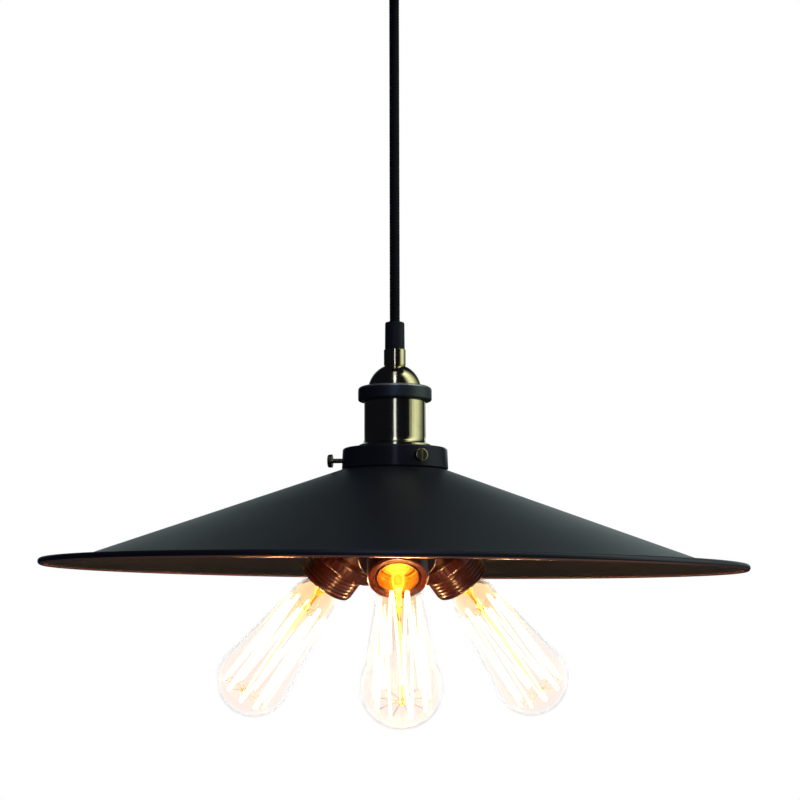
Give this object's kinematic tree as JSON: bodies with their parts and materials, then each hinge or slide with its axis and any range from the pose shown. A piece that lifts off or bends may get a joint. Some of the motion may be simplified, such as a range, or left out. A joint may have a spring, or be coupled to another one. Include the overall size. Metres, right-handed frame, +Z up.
{
  "type": "industrial pendant lamp",
  "caption": "Pendant lamp on a braided cord: brass cap and shell, wide shallow conical shade and a cluster of tilted lampholders with squirrel cage filament bulbs",
  "frame": {"origin": "centre of the ceiling plane that the rose's strap is fixed to", "axes": "+Z up out of the ceiling face, the lamp hangs along -Z, the viewer stands at -Y, +X to the right"},
  "size_m": [0.452, 0.452, 0.5303],
  "materials": {
    "zinc_steel": "zinc plated",
    "black_paint": "satin black paint",
    "shade_paint": "matte charcoal paint",
    "black_plastic": "satin",
    "pale_plastic": "moulded",
    "plain_brass": "plain",
    "antique_brass": "brushed antique brass",
    "dark_brass": "dark antique brass",
    "lead_sleeve": "insulated wire",
    "cord_braid": "woven braid",
    "dark_bakelite": "bakelite",
    "amber_glass": "clear amber tint",
    "insulator": "black insulator",
    "stem_glass": "clear",
    "lit_wire": "glowing wire"
  },
  "bodies": {
    "ceiling_rose": {"ceiling_strap": "zinc_steel", "ceiling_cup": "black_paint", "cup_screws": "black_paint", "rose_grip": "black_plastic", "rose_pinch_screw": "zinc_steel", "rose_lock_nut": "zinc_steel", "terminal_block": "pale_plastic", "terminal_ways": "plain_brass", "terminal_screws": "zinc_steel", "earth_screw": "zinc_steel", "rose_leads": "lead_sleeve", "rose_cord_tail": "cord_braid"},
    "hanging_cord": {"cord": "cord_braid"},
    "lamp": {"lamp_grip": "black_plastic", "lamp_pinch_screw": "zinc_steel", "lamp_cord_tail": "cord_braid", "brass_cap": "antique_brass", "union_ring": "dark_brass", "brass_shell": "antique_brass", "gallery": "black_paint", "centre_tube": "plain_brass", "tube_lock_nuts": "zinc_steel", "shade": "shade_paint", "cluster_lid": "black_paint", "cluster_cup": "black_paint", "cluster_screws": "zinc_steel", "arm_nipples": "plain_brass", "arm_lock_nuts": "zinc_steel", "lamp_leads": "lead_sleeve", "lampholder_1": "dark_bakelite", "mouth_ring_1": "dark_bakelite", "screw_shell_1": "plain_brass", "centre_contact_1": "plain_brass", "lampholder_2": "dark_bakelite", "mouth_ring_2": "dark_bakelite", "screw_shell_2": "plain_brass", "centre_contact_2": "plain_brass", "lampholder_3": "dark_bakelite", "mouth_ring_3": "dark_bakelite", "screw_shell_3": "plain_brass", "centre_contact_3": "plain_brass"},
    "shade_screw_1": {"thumbscrew_1": "dark_brass"},
    "shade_screw_2": {"thumbscrew_2": "dark_brass"},
    "shade_screw_3": {"thumbscrew_3": "dark_brass"},
    "bulb_1": {"bulb_glass_1": "amber_glass", "bulb_cap_1": "plain_brass", "bulb_contact_1": "insulator", "bulb_mount_1": "stem_glass", "bulb_filament_1": "lit_wire"},
    "bulb_2": {"bulb_glass_2": "amber_glass", "bulb_cap_2": "plain_brass", "bulb_contact_2": "insulator", "bulb_mount_2": "stem_glass", "bulb_filament_2": "lit_wire"},
    "bulb_3": {"bulb_glass_3": "amber_glass", "bulb_cap_3": "plain_brass", "bulb_contact_3": "insulator", "bulb_mount_3": "stem_glass", "bulb_filament_3": "lit_wire"}
  },
  "joints": [
    {"name": "cord_swing", "type": "hinge", "parent": "ceiling_rose", "child": "hanging_cord", "pos_m": [0, 0, -0.046], "axis": [0, 1, 0], "range_deg": [-15, 15]},
    {"name": "lamp_tilt", "type": "hinge", "parent": "hanging_cord", "child": "lamp", "pos_m": [0, 0, -0.27], "axis": [1, 0, 0], "range_deg": [-15, 15]},
    {"name": "thumbscrew_1_out", "type": "slide", "parent": "lamp", "child": "shade_screw_1", "axis": [-0.9925, 0.1219, 0], "range_m": [0, 0.004]},
    {"name": "thumbscrew_2_out", "type": "slide", "parent": "lamp", "child": "shade_screw_2", "axis": [0.3907, -0.9205, 0], "range_m": [0, 0.004]},
    {"name": "thumbscrew_3_out", "type": "slide", "parent": "lamp", "child": "shade_screw_3", "axis": [0.6018, 0.7986, 0], "range_m": [0, 0.004]},
    {"name": "bulb_1_out", "type": "slide", "parent": "lamp", "child": "bulb_1", "axis": [0.0229, -0.6557, -0.7547], "range_m": [0, 0.03]},
    {"name": "bulb_2_out", "type": "slide", "parent": "lamp", "child": "bulb_2", "axis": [0.5564, 0.3477, -0.7547], "range_m": [0, 0.03]},
    {"name": "bulb_3_out", "type": "slide", "parent": "lamp", "child": "bulb_3", "axis": [-0.5793, 0.308, -0.7547], "range_m": [0, 0.03]}
  ]
}
